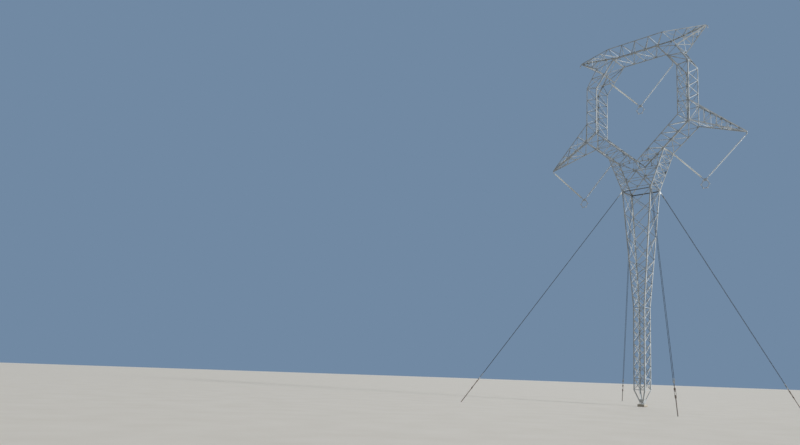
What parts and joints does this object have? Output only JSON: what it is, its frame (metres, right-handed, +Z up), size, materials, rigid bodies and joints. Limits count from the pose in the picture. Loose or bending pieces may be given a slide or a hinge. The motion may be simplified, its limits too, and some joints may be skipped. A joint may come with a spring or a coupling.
{
  "type": "guyed transmission pylon, 1:2 scale model",
  "caption": "Guyed single-mast lattice pylon with a window-shaped head, two crossarms, V-string insulators and four guys, at half size.",
  "frame": {"origin": "middle of the footing's underside, on the ground", "axes": "+X across the line along the crossarms, +Y along the line, +Z up the mast"},
  "size_m": [14.085, 18.492, 24.05],
  "materials": {
    "galvanised_steel": "weathered, matt",
    "guy_strand": "weathered, matt",
    "anchor_steel": "weathered, with light rust",
    "insulator": "glossy glaze",
    "fitting_alloy": "dull",
    "concrete": "rough"
  },
  "bodies": {
    "root": {"footing": "concrete", "mast_shoe": "galvanised_steel", "mast_foot_cone": "galvanised_steel", "mast_lower_section": "galvanised_steel", "mast_middle_section": "galvanised_steel", "mast_flare_lower": "galvanised_steel", "mast_flare_upper": "galvanised_steel", "waist_frame": "galvanised_steel", "crotch_frame": "galvanised_steel", "left_arm_lower": "galvanised_steel", "right_arm_lower": "galvanised_steel", "left_arm_upper": "galvanised_steel", "right_arm_upper": "galvanised_steel", "left_column": "galvanised_steel", "right_column": "galvanised_steel", "left_shoulder": "galvanised_steel", "right_shoulder": "galvanised_steel", "top_beam": "galvanised_steel", "left_peak": "galvanised_steel", "right_peak": "galvanised_steel", "left_crossarm": "galvanised_steel", "right_crossarm": "galvanised_steel", "left_string_outer": "insulator", "left_string_inner": "insulator", "middle_string_left": "insulator", "middle_string_right": "insulator", "right_string_inner": "insulator", "right_string_outer": "insulator", "left_yoke": "fitting_alloy", "middle_yoke": "fitting_alloy", "right_yoke": "fitting_alloy", "left_earthwire_clamp": "fitting_alloy", "right_earthwire_clamp": "fitting_alloy", "guy_front_left": "guy_strand", "guy_front_right": "guy_strand", "guy_back_left": "guy_strand", "guy_back_right": "guy_strand", "anchor_front_left": "anchor_steel", "anchor_front_right": "anchor_steel", "anchor_back_left": "anchor_steel", "anchor_back_right": "anchor_steel"}
  },
  "joints": []
}
